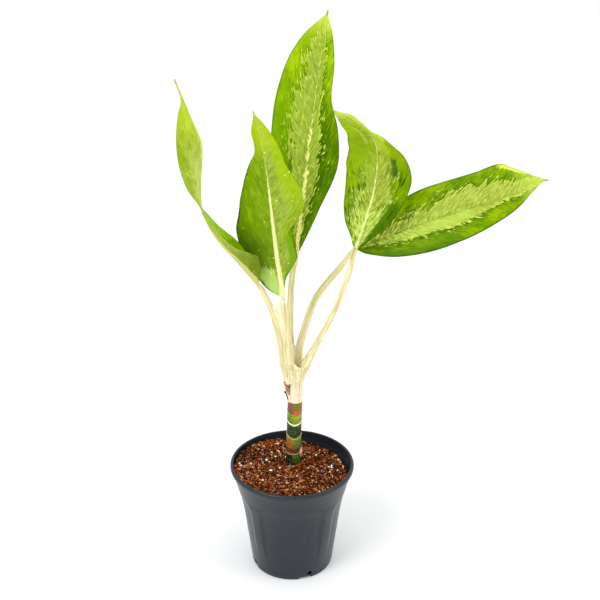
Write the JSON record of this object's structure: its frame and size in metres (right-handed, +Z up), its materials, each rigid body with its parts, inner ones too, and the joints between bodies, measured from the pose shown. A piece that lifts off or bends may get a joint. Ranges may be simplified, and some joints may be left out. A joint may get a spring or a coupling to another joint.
{
  "type": "potted chinese evergreen",
  "caption": "House plant: variegated oval leaves on pale stalks that rise from a short ringed cane, growing in coir soil in a round tapered nursery pot.",
  "frame": {"origin": "middle of the pot's foot, on the surface that the pot rests on", "axes": "+Z up along the pot, -Y toward the plant's show side, +X to the right of the show side"},
  "size_m": [0.4731, 0.1798, 0.7784],
  "materials": {
    "pot_plastic": "dark slate-grey moulded plastic with a soft satin sheen",
    "coir_soil": "crumbly red-brown coir with white perlite bits",
    "ringed_cane": "smooth green cane with pale leaf-scar rings and orange-brown bands",
    "stalk_skin": "smooth waxy cream skin with green and pink mottling",
    "leaf_green": "glossy lime-green leaf with a feathered silver-green middle and cream flecks"
  },
  "bodies": {
    "root": {"pot": "pot_plastic", "soil": "coir_soil", "cane": "ringed_cane", "stalk_tall": "stalk_skin", "stalk_front": "stalk_skin", "stalk_left": "stalk_skin", "stalk_right_upper": "stalk_skin", "stalk_right_lower": "stalk_skin", "blade_tall": "leaf_green", "blade_front": "leaf_green", "blade_left": "leaf_green", "blade_right_upper": "leaf_green", "blade_right_lower": "leaf_green"}
  },
  "joints": []
}
